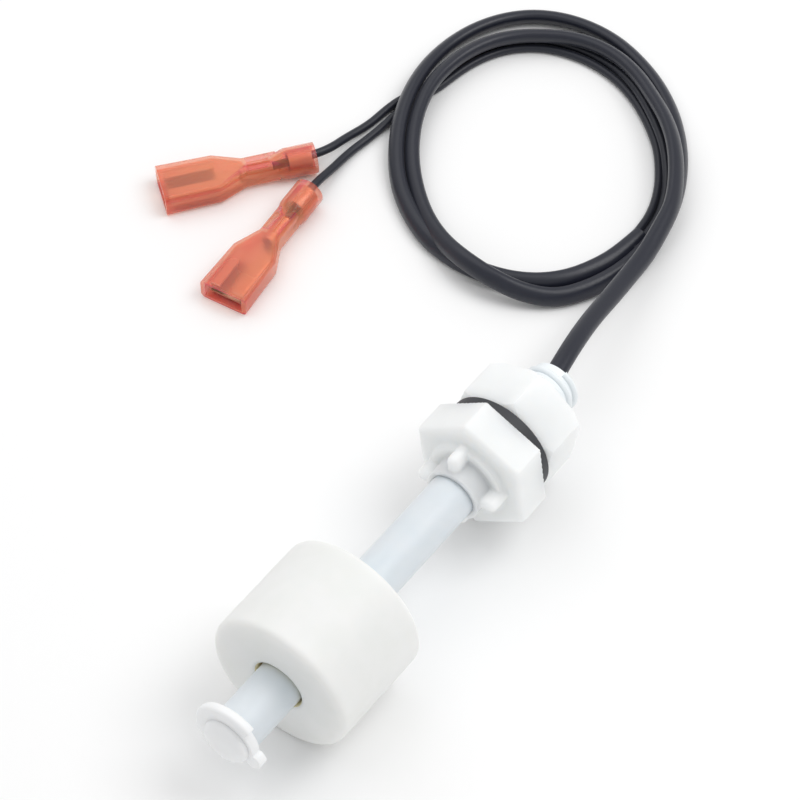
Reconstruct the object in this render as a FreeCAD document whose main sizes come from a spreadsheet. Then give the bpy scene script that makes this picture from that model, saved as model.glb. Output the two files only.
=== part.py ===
# Float level switch. A float with a ring magnet slides on a hollow stem and works a reed
# switch sealed inside it. Behind the stem a hexagon flange, a gasket and a lock nut clamp the
# wall of a tank. A two-core cable leaves through the threaded stub and ends in two insulated
# push-on terminals.
#
# The frame: X runs along the stem, with the float at -X and the cable at +X, and Z is up.
# The origin is on the axis of the stem, in the sealing face of the flange. Angles round the
# stem are measured from +Y towards +Z. The switch lies on a surface that the float touches.
import FreeCAD, Part
import math
import os
import re
import Sketcher

V = FreeCAD.Vector

# Driving dimensions in millimetres and degrees: name, value, what it sizes.
SIZES = (
    ("stem_radius", 3.95, "stem tube, outside radius"),
    ("stem_bore", 2.6, "stem tube, radius of its bore"),
    ("stem_reach", 69.8, "nose of the stem, distance from the sealing face"),
    ("stem_seat", 2.0, "rear end of the stem, distance from the sealing face"),
    ("nose_length", 4.6, "solid end of the stem in front of its bore"),
    ("nose_round", 1.3, "rounding of the stem's nose"),
    ("head_length", 1.6, "head of the stem in front of the clip groove"),
    ("clip_groove", 1.8, "width of the clip groove"),
    ("groove_depth", 1.0, "depth of the clip groove"),
    ("clip_radius", 6.4, "retaining clip, outside radius"),
    ("clip_round", 0.6, "retaining clip, rounding of its outer edges"),
    ("clip_turn", 278.5, "angle at which the clip's plain end lies"),
    ("clip_sweep", 211.5, "angle over which the clip has its full width"),
    ("tail_sweep", 282.9, "angle from the clip's plain end to the bulb on its tail"),
    ("tail_radius", 4.7, "retaining clip, outside radius of its tail"),
    ("bulb_radius", 1.5, "bulb on the clip's tail"),
    ("bulb_circle", 4.9, "distance of the bulb from the stem's axis"),
    ("clip_play", 0.05, "clearance of the clip in its groove"),
    ("float_radius", 12.7, "float, outside radius"),
    ("float_length", 19.3, "float, length along the stem"),
    ("float_gap", 10.3, "float, distance of its front from the clip groove"),
    ("float_bore", 4.3, "float, radius of the hole for the stem"),
    ("float_round", 1.4, "float, rounding of its outer edges"),
    ("float_wall", 1.6, "float, outer wall"),
    ("float_core", 1.2, "float, wall of the tube round the stem"),
    ("cap_thick", 1.8, "float cap, thickness"),
    ("weld_gap", 0.05, "clearance of the float cap and the magnet in the float"),
    ("magnet_radius", 8.5, "ring magnet, outside radius"),
    ("magnet_length", 6.0, "ring magnet, length"),
    ("hex_flats", 19.6, "hexagon flange, across the flats"),
    ("hex_length", 6.57, "hexagon flange, length"),
    ("hex_round", 0.9, "hexagon flange, rounding of its front edges"),
    ("rib_turn", 82.0, "angle of the first rib and of a corner of the flange"),
    ("ring_radius", 7.0, "raised ring on the flange, outside radius"),
    ("ring_height", 1.0, "raised ring on the flange, height"),
    ("recess_radius", 5.9, "recess round the collar, outside radius"),
    ("recess_depth", 0.3, "recess round the collar, depth below the flange's front"),
    ("collar_radius", 4.9, "collar that holds the stem, outside radius"),
    ("collar_reach", 11.3, "front of the collar, distance from the sealing face"),
    ("rib_reach", 7.65, "ribs, distance of their outer side from the axis"),
    ("rib_width", 2.0, "ribs, width"),
    ("rib_front", 10.7, "ribs, front end, distance from the sealing face"),
    ("rib_count", 4, "number of ribs"),
    ("thread_radius", 4.7625, "threaded stub, major radius of a 3/8-16 thread"),
    ("stub_reach", 17.5, "end of the threaded stub, distance from the sealing face"),
    ("stub_chamfer", 0.8, "chamfer on the end of the stub"),
    ("cable_bore", 3.2, "radius of the cable's way through the stub"),
    ("socket_play", 0.05, "clearance between the stem and the collar"),
    ("gasket_radius", 9.65, "gasket, outside radius"),
    ("gasket_thick", 2.05, "gasket, thickness"),
    ("gasket_play", 0.15, "clearance of the gasket on the thread"),
    ("nut_flats", 17.7, "lock nut, across the flats"),
    ("nut_thick", 8.85, "lock nut, thickness"),
    ("nut_turn", 38.6, "angle of one corner of the lock nut"),
    ("nut_circle", 9.25, "circle at which the lock nut's faces are chamfered"),
    ("nut_slope", 0.95, "length of the nut's chamfer for each unit of its height"),
    ("nut_play", 0.08, "clearance of the lock nut on the thread"),
    ("nut_sink", 0.6, "countersink of the lock nut's hole"),
    ("reed_setback", 12.8, "front end of the reed's glass, distance from the stem's nose"),
    ("reed_length", 14.0, "reed's glass, length"),
    ("reed_radius", 1.1, "reed's glass, outside radius"),
    ("reed_wall", 0.2, "reed's glass, wall"),
    ("reed_seal", 1.6, "length of glass that is melted round each lead"),
    ("reed_side", 0.98, "distance of the reed and of each core from the stem's axis"),
    ("lead_radius", 0.25, "reed's leads, radius"),
    ("lead_play", 0.01, "clearance of a lead in the glass"),
    ("blade_width", 1.2, "reed's blades, width"),
    ("blade_thick", 0.2, "reed's blades, thickness"),
    ("blade_lap", 1.0, "length over which the two blades face each other"),
    ("blade_gap", 0.12, "gap between the two blades"),
    ("lead_front", 3.6, "front lead, straight length ahead of the glass"),
    ("lead_return", 1.0, "front lead, straight length after its bend"),
    ("lead_rear", 2.5, "rear lead, length behind the glass"),
    ("shrink_radius", 0.95, "shrink sleeve over a solder joint, outside radius"),
    ("shrink_length", 3.0, "shrink sleeve over a solder joint, length"),
    ("shrink_play", 0.03, "clearance of the shrink sleeve on a core"),
    ("core_radius", 0.73, "insulated core, radius"),
    ("jacket_radius", 1.45, "cable jacket, radius of the round tube of equal section"),
    ("jacket_high", 3.4, "cable jacket, its wide way across"),
    ("core_end", 12.9, "where the cores in the stem reach the jacket, behind the sealing face"),
    ("jacket_start", 13.2, "where the jacket begins, behind the sealing face"),
    ("potting_front", 5.0, "front of the potting, behind the sealing face"),
    ("potting_rear", 15.0, "rear of the potting, behind the sealing face"),
    ("potting_play", 0.03, "clearance of the potting round what it holds"),
    ("end_a_x", 41.27, "terminal a, cable end of its barrel, along X"),
    ("end_a_y", 67.96, "terminal a, cable end of its barrel, along Y"),
    ("end_a_turn", 141.8, "terminal a, direction from barrel to mouth"),
    ("end_b_x", 34.15, "terminal b, cable end of its barrel, along X"),
    ("end_b_y", 63.79, "terminal b, cable end of its barrel, along Y"),
    ("end_b_turn", 185.9, "terminal b, direction from barrel to mouth"),
    ("barrel_radius", 2.8, "terminal housing, radius of its barrel"),
    ("barrel_length", 6.9, "terminal housing, length of its barrel"),
    ("waist_length", 6.0, "terminal housing, length of its crimped waist"),
    ("waist_width", 4.2, "terminal housing, width of its waist"),
    ("shoulder_length", 5.0, "terminal housing, length of its shoulders"),
    ("mouth_length", 10.1, "terminal housing, length of its flat mouth"),
    ("mouth_width", 9.2, "terminal housing, width at the mouth"),
    ("neck_width", 8.6, "terminal housing, width at the shoulders"),
    ("mouth_thick", 4.2, "terminal housing, thickness"),
    ("mouth_round", 0.9, "terminal housing, rounding of its long edges"),
    ("dent_length", 4.0, "crimp marks on the waist, length"),
    ("dent_width", 1.2, "crimp marks on the waist, width"),
    ("dent_pitch", 1.9, "crimp marks on the waist, distance from middle to middle"),
    ("dent_depth", 0.3, "crimp marks on the waist, depth"),
    ("housing_wall", 0.65, "terminal housing, wall round the mouth"),
    ("funnel_wall", 0.5, "terminal housing, wall of the barrel"),
    ("strip", 0.4, "brass strip of the receptacle, thickness"),
    ("strip_play", 0.1, "clearance of the receptacle in the housing"),
    ("strip_recess", 1.2, "distance of the receptacle behind the mouth"),
    ("curl_width", 2.2, "part of the receptacle that is rolled back over the tab"),
    ("crimp_radius", 1.3, "crimped barrel of the receptacle, outside radius"),
    ("grip_wall", 0.3, "brass sleeve in the housing's barrel, wall"),
    ("grip_play", 0.05, "clearance of the brass sleeve in the housing's barrel"),
    ("grip_setback", 0.8, "distance of the brass sleeve behind the barrel's end"),
    ("coil_x", 66.85, "middle of the coil, along X"),
    ("coil_y", 37.37, "middle of the coil, along Y"),
    ("coil_turn", 34.73, "direction of the coil's long axis"),
    ("coil_long", 32.05, "coil, half of its long axis at the middle of the turns"),
    ("coil_short", 24.13, "coil, half of its short axis at the middle of the turns"),
    ("coil_outer", 1.11, "outside of the coil as a share of its half axes"),
    ("coil_inner", 0.83, "inside of the coil as a share of its half axes"),
)

# The cable's way from the stub to the coil and the two cores' ways from the coil to the
# terminals, as points that stay where they are.
JACKET_ROUTE = (
    (13.2, 0.0, 0.0), (20.4, 1.35, 0.1), (27.5, 2.9, -1.0), (34.5, 4.3, -2.8), (41.5, 5.2, -4.6),
    (48.4, 6.2, -6.3), (55.1, 7.0, -7.4), (61.6, 8.3, -7.6), (67.8, 9.7, -7.62),
)
CORE_A_ROUTE = (
    (66.0, 64.0, -11.95), (60.4, 66.0, -11.9), (54.8, 66.2, -11.85), (49.4, 67.2, -11.2),
    (43.98, 67.36, -10.0), (38.92, 70.32, -9.98), (34.51, 73.28, -10.12),
)
CORE_B_ROUTE = (
    (64.0, 62.4, -11.95), (58.6, 63.9, -11.9), (52.9, 64.2, -11.93), (47.4, 64.9, -11.8),
    (41.9, 64.6, -11.2), (36.61, 64.25, -10.1), (30.86, 63.6, -9.98), (25.6, 62.91, -10.12),
)
UPPER_LAYER = (-125.0, -60.0)
BEND_SHARE = 0.45

doc = FreeCAD.newDocument("float_level_switch")
sheet = doc.addObject("Spreadsheet::Sheet", "Sizes")
for row, (alias, value, note) in enumerate(SIZES, 1):
    sheet.set(f"A{row}", note)
    sheet.set(f"B{row}", str(value))
    sheet.setAlias(f"B{row}", alias)
doc.recompute()

ALIASES = re.compile(r"\b(" + "|".join(alias for alias, _, _ in SIZES) + r")\b")
subparts = []


def linked(formula):
    """A formula in size names, as an expression that reads the sheet."""
    return ALIASES.sub(r"Sizes.\1", formula)


def bind(item, **formulas):
    """Bind properties of an object to formulas in size names."""
    for name, formula in formulas.items():
        item.setExpression(name, linked(formula))


def bind_place(item, x="0", y="0", z="0"):
    """Bind the position of an object to formulas in size names."""
    for axis, formula in (("x", x), ("y", y), ("z", z)):
        item.setExpression(f".Placement.Base.{axis}", linked(formula))


def size(alias):
    """The value of one size, for shapes that are worked out here."""
    return float(getattr(sheet, alias))


def subpart(item):
    """Note an object as a sub-part that is written to a file of its own."""
    subparts.append(item)
    return item


def new_body(label, turn=None):
    """A body, turned about the axis of the stem by a formula in size names if it has one."""
    body = subpart(doc.addObject("PartDesign::Body", label))
    if turn:
        body.Placement.Rotation.Axis = V(1, 0, 0)
        body.setExpression(".Placement.Rotation.Angle", linked(turn))
    return body


def new_sketch(body, role, offset="0"):
    """A sketch on one of the body's own planes, moved along the plane's normal."""
    sketch = body.newObject("Sketcher::SketchObject", body.Name + "_sketch")
    plane = next(item for item in body.Origin.OriginFeatures if item.Role == role)
    sketch.AttachmentSupport = [(plane, "")]
    sketch.MapMode = "FlatFace"
    sketch.setExpression(".AttachmentOffset.Base.z", linked(offset))
    return sketch


def fix(sketch, kind, place, geometry, end, now):
    """Fix one distance of a sketch point from the origin to a formula."""
    index = sketch.addConstraint(Sketcher.Constraint(kind, -1, 1, geometry, end, now))
    sketch.setExpression(f"Constraints[{index}]", linked(place))


def outline(body, corners, role="XY_Plane", offset="0"):
    """A closed outline with straight sides, whose corners are pairs of formulas."""
    sketch = new_sketch(body, role, offset)
    count = len(corners)
    ring = [V(math.cos(math.tau * k / count), math.sin(math.tau * k / count)) for k in range(count)]
    for k in range(count):
        sketch.addGeometry(Part.LineSegment(ring[k], ring[(k + 1) % count]), False)
    for k in range(count):
        sketch.addConstraint(Sketcher.Constraint("Coincident", k, 2, (k + 1) % count, 1))
    for k, (across, up) in enumerate(corners):
        fix(sketch, "DistanceX", across, k, 1, ring[k].x)
        fix(sketch, "DistanceY", up, k, 1, ring[k].y)
    return sketch


def disc(body, across, up, radius, role="YZ_Plane", offset="0"):
    """A circle whose centre and radius are formulas."""
    sketch = new_sketch(body, role, offset)
    sketch.addGeometry(Part.Circle(V(), V(0, 0, 1), 1), False)
    fix(sketch, "DistanceX", across, 0, 3, 0)
    fix(sketch, "DistanceY", up, 0, 3, 0)
    index = sketch.addConstraint(Sketcher.Constraint("Radius", 0, 1))
    sketch.setExpression(f"Constraints[{index}]", linked(radius))
    return sketch


def turn(body, kind, sketch, angle="360", axis="H_Axis"):
    """Revolve (or cut) an outline round the stem's axis, or round the sketch's other one."""
    feature = body.newObject(f"PartDesign::{kind}", f"{body.Name}_{kind.lower()}")
    feature.Profile = sketch
    feature.ReferenceAxis = (sketch, [axis])
    bind(feature, Angle=angle)
    doc.recompute()
    return feature


def extrude(body, kind, sketch, length, symmetric=False):
    """Extrude (or cut) an outline by a length, along its normal or to both sides."""
    feature = body.newObject(f"PartDesign::{kind}", f"{body.Name}_{kind.lower()}")
    feature.Profile = sketch
    feature.SideType = "Symmetric" if symmetric else "One side"
    feature.Reversed = kind == "Pocket" and not symmetric
    bind(feature, Length=length)
    doc.recompute()
    return feature


def rounded(body, radius, chosen):
    """Round the edges of the body's shape that pass a test."""
    base = body.Tip
    edges = [f"Edge{n}" for n, edge in enumerate(base.Shape.Edges, 1) if chosen(edge)]
    feature = body.newObject("PartDesign::Fillet", body.Name + "_round")
    feature.Base = (base, edges)
    bind(feature, Radius=radius)
    doc.recompute()
    return feature


def crosswise_at(x, radius=None):
    """A test for edges that lie across the stem at one place, on one circle if it is given."""
    def test(edge):
        box = edge.BoundBox
        flat = abs(box.XMin - x) < 1e-4 and abs(box.XMax - x) < 1e-4
        reach = max(math.hypot(v.Y, v.Z) for v in edge.Vertexes)
        return flat and (radius is None or abs(reach - radius) < 1e-3)
    return test


def turned(label, corners):
    """A body made by one revolved outline."""
    body = new_body(label)
    turn(body, "Revolution", outline(body, corners))
    return body


def hexagon(flats):
    """The six corners of a hexagon, the first one on the sketch's first axis."""
    across = f"({flats}) / sqrt(3)"
    return [(f"{across} * cos({60 * k})", f"{across} * sin({60 * k})") for k in range(6)]


def rod(label, radius, start, end, y="0", z="0"):
    """A cylinder along X between two places."""
    item = doc.addObject("Part::Cylinder", label)
    item.Placement = FreeCAD.Placement(V(), FreeCAD.Rotation(V(0, 1, 0), 90))
    bind(item, Radius=radius, Height=f"({end}) - ({start})")
    bind_place(item, start, y, z)
    return item


def joined(label, *pieces):
    """Several primitives fused into one sub-part."""
    item = subpart(doc.addObject("Part::MultiFuse", label))
    item.Shapes = list(pieces)
    return item


def less(label, base, *tools):
    """A sub-part that is a primitive with others cut out of it."""
    tool = tools[0]
    if len(tools) > 1:
        tool = doc.addObject("Part::MultiFuse", label + "_tools")
        tool.Shapes = list(tools)
    item = subpart(doc.addObject("Part::Cut", label))
    item.Base = base
    item.Tool = tool
    return item


# Stem, clip and float

GROOVE_FRONT = "-stem_reach + head_length"
GROOVE_REAR = f"{GROOVE_FRONT} + clip_groove"
FLOAT_FRONT = f"{GROOVE_REAR} + float_gap"


def stem_tube():
    """The hollow stem: a closed nose, a groove for the clip and a bore for the reed."""
    groove_floor = "stem_radius - groove_depth"
    bore_end = "-stem_reach + nose_length"
    body = turned("stem_tube", [
        ("-stem_reach", "0"),
        ("-stem_reach", "stem_radius"),
        (GROOVE_FRONT, "stem_radius"),
        (GROOVE_FRONT, groove_floor),
        (GROOVE_REAR, groove_floor),
        (GROOVE_REAR, "stem_radius"),
        ("-stem_seat", "stem_radius"),
        ("-stem_seat", "stem_bore"),
        (bore_end, "stem_bore"),
        (bore_end, "0"),
    ])
    rounded(body, "nose_round", crosswise_at(-size("stem_reach")))


def retaining_clip():
    """The snap ring in the stem's groove, open on one side, with a bulb on its tail."""
    front = f"{GROOVE_FRONT} + clip_play"
    rear = f"{GROOVE_REAR} - clip_play"
    inner = "stem_radius - groove_depth + clip_play"
    body = new_body("retaining_clip", "clip_turn")
    groove_front = size("head_length") - size("stem_reach")
    ends = (groove_front + size("clip_play"), groove_front + size("clip_groove") - size("clip_play"))
    rims = [crosswise_at(x, size("clip_radius")) for x in ends]
    for outer, sweep in (("clip_radius", "clip_sweep"), ("tail_radius", "tail_sweep")):
        ring = outline(body, [(front, inner), (front, outer), (rear, outer), (rear, inner)])
        turn(body, "Revolution", ring, sweep)
        if outer == "clip_radius":
            rounded(body, "clip_round", lambda edge: is_arc(edge) and any(rim(edge) for rim in rims))
    bulb = disc(body, "bulb_circle * cos(tail_sweep)", "bulb_circle * sin(tail_sweep)",
                "bulb_radius", offset=front)
    extrude(body, "Pad", bulb, "clip_groove - 2 * clip_play")


def is_arc(edge):
    """Whether an edge is part of a circle."""
    return edge.Curve.TypeId == "Part::GeomCircle"


def float_pieces():
    """The float: a cup with a tube round the stem, a welded cap and a ring magnet inside."""
    front = FLOAT_FRONT
    rear = f"{front} + float_length"
    core = "float_bore + float_core"
    inside = "float_radius - float_wall"
    shell = turned("float_shell", [
        (front, "float_bore"),
        (front, "float_radius"),
        (rear, "float_radius"),
        (rear, inside),
        (f"{front} + float_wall", inside),
        (f"{front} + float_wall", core),
        (f"{rear} - cap_thick", core),
        (f"{rear} - cap_thick", "float_bore"),
    ])
    far = size("head_length") + size("clip_groove") + size("float_gap") - size("stem_reach")
    far_edge = crosswise_at(far, size("float_radius"))
    near_edge = crosswise_at(far + size("float_length"), size("float_radius"))
    rounded(shell, "float_round", lambda edge: far_edge(edge) or near_edge(edge))
    rounded(shell, "float_round / 4", crosswise_at(far, size("float_bore")))
    turned("float_cap", [
        (f"{rear} - cap_thick", "float_bore"),
        (f"{rear} - cap_thick", f"{inside} - weld_gap"),
        (rear, f"{inside} - weld_gap"),
        (rear, "float_bore"),
    ])
    turned("ring_magnet", [
        (f"{front} + float_wall", f"{core} + weld_gap"),
        (f"{front} + float_wall", "magnet_radius"),
        (f"{front} + float_wall + magnet_length", "magnet_radius"),
        (f"{front} + float_wall + magnet_length", f"{core} + weld_gap"),
    ])


# Mounting body, gasket and nut

def threaded_body():
    """One moulding: hexagon flange, ribbed collar that holds the stem, and threaded stub."""
    body = new_body("threaded_body", "rib_turn")
    flange = outline(body, hexagon("hex_flats"), "YZ_Plane", "-hex_length")
    extrude(body, "Pad", flange, "hex_length")
    rounded(body, "hex_round", crosswise_at(-size("hex_length")))
    turn(body, "Revolution", outline(body, [
        ("-collar_reach", "0"),
        ("-collar_reach", "collar_radius"),
        ("-gasket_thick", "collar_radius"),
        ("-gasket_thick", "thread_radius"),
        ("stub_reach - stub_chamfer", "thread_radius"),
        ("stub_reach", "thread_radius - stub_chamfer"),
        ("stub_reach", "0"),
    ]))
    turn(body, "Revolution", outline(body, [
        ("-hex_length - ring_height", "collar_radius"),
        ("-hex_length - ring_height", "ring_radius"),
        ("-hex_length / 2", "ring_radius"),
        ("-hex_length / 2", "collar_radius"),
    ]))
    turn(body, "Groove", outline(body, [
        ("-hex_length - 2 * ring_height", "collar_radius"),
        ("-hex_length - 2 * ring_height", "recess_radius"),
        ("-hex_length + recess_depth", "recess_radius"),
        ("-hex_length + recess_depth", "collar_radius"),
    ]))
    rounded(body, "ring_height / 3", crosswise_at(-size("hex_length") - size("ring_height")))
    rib = extrude(body, "Pad", rib_section(body), "rib_front - rib_width / 2 - hex_length + recess_depth")
    tip = turn(body, "Revolution", rib_tip(body), axis="V_Axis")
    pattern = body.newObject("PartDesign::PolarPattern", "rib_pattern")
    pattern.Originals = [rib, tip]
    pattern.Axis = (next(item for item in body.Origin.OriginFeatures if item.Role == "X_Axis"), [""])
    pattern.Angle = 360
    bind(pattern, Occurrences="rib_count")
    body.Tip = pattern
    doc.recompute()
    turn(body, "Groove", outline(body, [
        ("-2 * collar_reach", "0"),
        ("-2 * collar_reach", "stem_radius + socket_play"),
        ("-stem_seat", "stem_radius + socket_play"),
        ("-stem_seat", "cable_bore"),
        ("2 * stub_reach", "cable_bore"),
        ("2 * stub_reach", "0"),
    ]))


def rib_section(body):
    """The section of a rib across the stem: straight sides and a round outer end."""
    half = "rib_width / 2"
    foot = "collar_radius - rib_width / 4"
    sketch = new_sketch(body, "YZ_Plane", f"-rib_front + {half}")
    sketch.addGeometry(Part.LineSegment(V(1, 1), V(2, 1)), False)
    circle = Part.Circle(V(2, 0), V(0, 0, 1), 1)
    sketch.addGeometry(Part.ArcOfCircle(circle, -math.pi / 2, math.pi / 2), False)
    sketch.addGeometry(Part.LineSegment(V(2, -1), V(1, -1)), False)
    sketch.addGeometry(Part.LineSegment(V(1, -1), V(1, 1)), False)
    for first, end, second, start in ((0, 2, 1, 2), (1, 1, 2, 1), (2, 2, 3, 1), (3, 2, 0, 1)):
        sketch.addConstraint(Sketcher.Constraint("Coincident", first, end, second, start))
    fix(sketch, "DistanceX", foot, 0, 1, 1)
    fix(sketch, "DistanceY", half, 0, 1, 1)
    fix(sketch, "DistanceX", foot, 3, 1, 1)
    fix(sketch, "DistanceY", f"-{half}", 3, 1, -1)
    fix(sketch, "DistanceX", f"rib_reach - {half}", 1, 3, 2)
    fix(sketch, "DistanceY", "0", 1, 3, 0)
    fix(sketch, "DistanceX", f"rib_reach - {half}", 1, 2, 2)
    fix(sketch, "DistanceY", half, 1, 2, 1)
    fix(sketch, "DistanceX", f"rib_reach - {half}", 1, 1, 2)
    return sketch


def rib_tip(body):
    """Half the section of a rib's front end, which is round like a ball-ended pin."""
    half = "rib_width / 2"
    foot = "collar_radius - rib_width / 4"
    top = f"rib_reach - {half}"
    sketch = new_sketch(body, "XY_Plane")
    sketch.setExpression(".AttachmentOffset.Base.x", linked(f"-rib_front + {half}"))
    sketch.addGeometry(Part.LineSegment(V(0, 1), V(1, 1)), False)
    sketch.addGeometry(Part.LineSegment(V(1, 1), V(1, 2)), False)
    sketch.addGeometry(Part.ArcOfCircle(Part.Circle(V(0, 2), V(0, 0, 1), 1), 0, math.pi / 2), False)
    sketch.addGeometry(Part.LineSegment(V(0, 3), V(0, 1)), False)
    for first, end, second, start in ((0, 2, 1, 1), (1, 2, 2, 1), (2, 2, 3, 1), (3, 2, 0, 1)):
        sketch.addConstraint(Sketcher.Constraint("Coincident", first, end, second, start))
    fix(sketch, "DistanceX", "0", 0, 1, 0)
    fix(sketch, "DistanceY", foot, 0, 1, 1)
    fix(sketch, "DistanceX", half, 1, 1, 1)
    fix(sketch, "DistanceY", foot, 1, 1, 1)
    fix(sketch, "DistanceX", half, 1, 2, 1)
    fix(sketch, "DistanceY", top, 1, 2, 2)
    fix(sketch, "DistanceX", "0", 2, 3, 0)
    fix(sketch, "DistanceY", top, 2, 3, 2)
    fix(sketch, "DistanceX", "0", 3, 1, 0)
    return sketch


def gasket():
    """The flat rubber ring between the flange and the tank wall."""
    inner = "thread_radius + gasket_play"
    body = turned("gasket", [
        ("0", inner), ("0", "gasket_radius"), ("gasket_thick", "gasket_radius"), ("gasket_thick", inner),
    ])
    ends = (crosswise_at(0, size("gasket_radius")), crosswise_at(size("gasket_thick"), size("gasket_radius")))
    rounded(body, "gasket_thick / 12", lambda edge: any(test(edge) for test in ends))


def lock_nut():
    """The hexagon nut: both faces chamfered to a circle, the hole countersunk."""
    rear = "gasket_thick + nut_thick"
    hole = "thread_radius + nut_play"
    clear = "nut_flats"
    body = new_body("lock_nut", "nut_turn")
    extrude(body, "Pad", outline(body, hexagon("nut_flats"), "YZ_Plane", "gasket_thick"), "nut_thick")
    for face, inward in (("gasket_thick", "+"), (rear, "-")):
        turn(body, "Groove", outline(body, [
            (face, "nut_circle"),
            (face, clear),
            (f"{face} {inward} ({clear} - nut_circle) * nut_slope", clear),
        ]))
    turn(body, "Groove", outline(body, [
        ("gasket_thick", "0"),
        ("gasket_thick", f"{hole} + nut_sink"),
        ("gasket_thick + nut_sink", hole),
        (f"{rear} - nut_sink", hole),
        (rear, f"{hole} + nut_sink"),
        (rear, "0"),
    ]))


# Reed switch and its wiring inside the stem

REED_FRONT = "-stem_reach + reed_setback"


def reed_switch():
    """The reed: a glass tube with two overlapping blades, each one with its lead."""
    front = REED_FRONT
    rear = f"{front} + reed_length"
    middle = f"{front} + reed_length / 2"
    hole = "lead_radius + lead_play"
    inside = "reed_radius - reed_wall"
    glass = turned("reed_glass", [
        (front, hole),
        (front, "reed_radius / 2"),
        (f"{front} + reed_seal / 3", "reed_radius"),
        (f"{rear} - reed_seal / 3", "reed_radius"),
        (rear, "reed_radius / 2"),
        (rear, hole),
        (f"{rear} - reed_seal", hole),
        (f"{rear} - reed_seal - reed_wall", inside),
        (f"{front} + reed_seal + reed_wall", inside),
        (f"{front} + reed_seal", hole),
    ])
    bind_place(glass, y="-reed_side")

    lap_front = f"{middle} - blade_lap / 2"
    lap_rear = f"{middle} + blade_lap / 2"
    lift = "(blade_thick + blade_gap) / 2"
    bend = doc.addObject("Part::Torus", "front_bend")
    bind(bend, Radius1="reed_side", Radius2="lead_radius")
    bend.Angle1 = -180
    bend.Angle2 = 180
    bend.Angle3 = 180
    bend.Placement = FreeCAD.Placement(V(), FreeCAD.Rotation(V(0, 0, 1), 90))
    bind_place(bend, f"{front} - lead_front")
    joined(
        "reed_blade_front",
        blade("front_blade", f"{front} + reed_seal + 2 * reed_wall", lap_rear, lift),
        rod("front_lead", "lead_radius", f"{front} - lead_front",
            f"{front} + reed_seal + 4 * reed_wall", "-reed_side"),
        bend,
        rod("front_return", "lead_radius", f"{front} - lead_front",
            f"{front} - lead_front + lead_return", "reed_side"),
    )
    joined(
        "reed_blade_rear",
        blade("rear_blade", lap_front, f"{rear} - reed_seal - 2 * reed_wall", f"-{lift}"),
        rod("rear_lead", "lead_radius", f"{rear} - reed_seal - 4 * reed_wall",
            f"{rear} + lead_rear", "-reed_side"),
    )


def blade(label, start, end, middle):
    """The flattened part of a reed lead, between two places along X."""
    item = doc.addObject("Part::Box", label)
    bind(item, Length=f"({end}) - ({start})", Width="blade_width", Height="blade_thick")
    bind_place(item, start, "-reed_side - blade_width / 2", f"{middle} - blade_thick / 2")
    return item


def inner_wiring():
    """The two cores inside the stem, and a shrink sleeve over each solder joint."""
    joints = (
        ("front", f"{REED_FRONT} - lead_front + lead_return", "reed_side"),
        ("rear", f"{REED_FRONT} + reed_length + lead_rear", "-reed_side"),
    )
    for name, joint, side in joints:
        subpart(rod(f"lead_wire_{name}", "core_radius", joint, "core_end", side))
        start = f"{joint} - shrink_length / 3"
        end = f"{joint} + 2 * shrink_length / 3"
        less(
            f"shrink_sleeve_{name}",
            rod(f"{name}_sleeve_outside", "shrink_radius", start, end, side),
            rod(f"{name}_sleeve_inside", "core_radius + shrink_play", start, end, side),
        )


def potting_plug():
    """The resin that closes the stub and holds the cores and the start of the jacket."""
    clear = doc.addObject("Part::Feature", "jacket_clearance")
    first = V(*JACKET_ROUTE[0])
    way = V(*JACKET_ROUTE[1]) - first
    clear.Shape = Part.makeCylinder(size("jacket_radius") + size("potting_play"), way.Length, first, way)
    less(
        "potting_plug",
        rod("potting_outside", "cable_bore - potting_play", "potting_front", "potting_rear"),
        rod("core_way_front", "core_radius + potting_play", "potting_front", "jacket_start", "reed_side"),
        rod("core_way_rear", "core_radius + potting_play", "potting_front", "jacket_start", "-reed_side"),
        clear,
    )


# Cable

def tube(label, route, radius):
    """A round cord along straight runs that are joined by tangent arcs."""
    points = [V(*point) for point in route]
    edges = []
    radii = []
    start = points[0]
    for before, here, after in zip(points, points[1:], points[2:]):
        way_in = (here - before).normalize()
        way_out = (after - here).normalize()
        reach = BEND_SHARE * min((here - before).Length, (after - here).Length)
        radii.append(reach / math.tan(way_in.getAngle(way_out) / 2))
        first = here - way_in * reach
        last = here + way_out * reach
        bulge = (way_out - way_in).normalize()
        centre = here + bulge * math.hypot(reach, radii[-1])
        middle = centre - bulge * radii[-1]
        edges.append(Part.LineSegment(start, first).toShape())
        edges.append(Part.Arc(first, middle, last).toShape())
        start = last
    edges.append(Part.LineSegment(start, points[-1]).toShape())
    path = Part.Wire(edges)
    ring = Part.Wire(Part.Circle(points[0], points[1] - points[0], radius).toShape())
    shape = path.makePipeShell([ring], True, False)
    item = subpart(doc.addObject("Part::Feature", label))
    item.Shape = shape
    share = shape.Volume / (math.pi * radius ** 2 * path.Length)
    print(f"{label}: length {path.Length:.1f}, volume against section {share:.4f},",
          "radii", " ".join(f"{value:.1f}" for value in radii))


def ellipse(share):
    """The coil's ellipse at a share of its half axes, round its own middle."""
    long_half = size("coil_long") * share
    short_half = size("coil_short") * share
    return Part.Wire(Part.Ellipse(V(), long_half, short_half).toShape())


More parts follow.
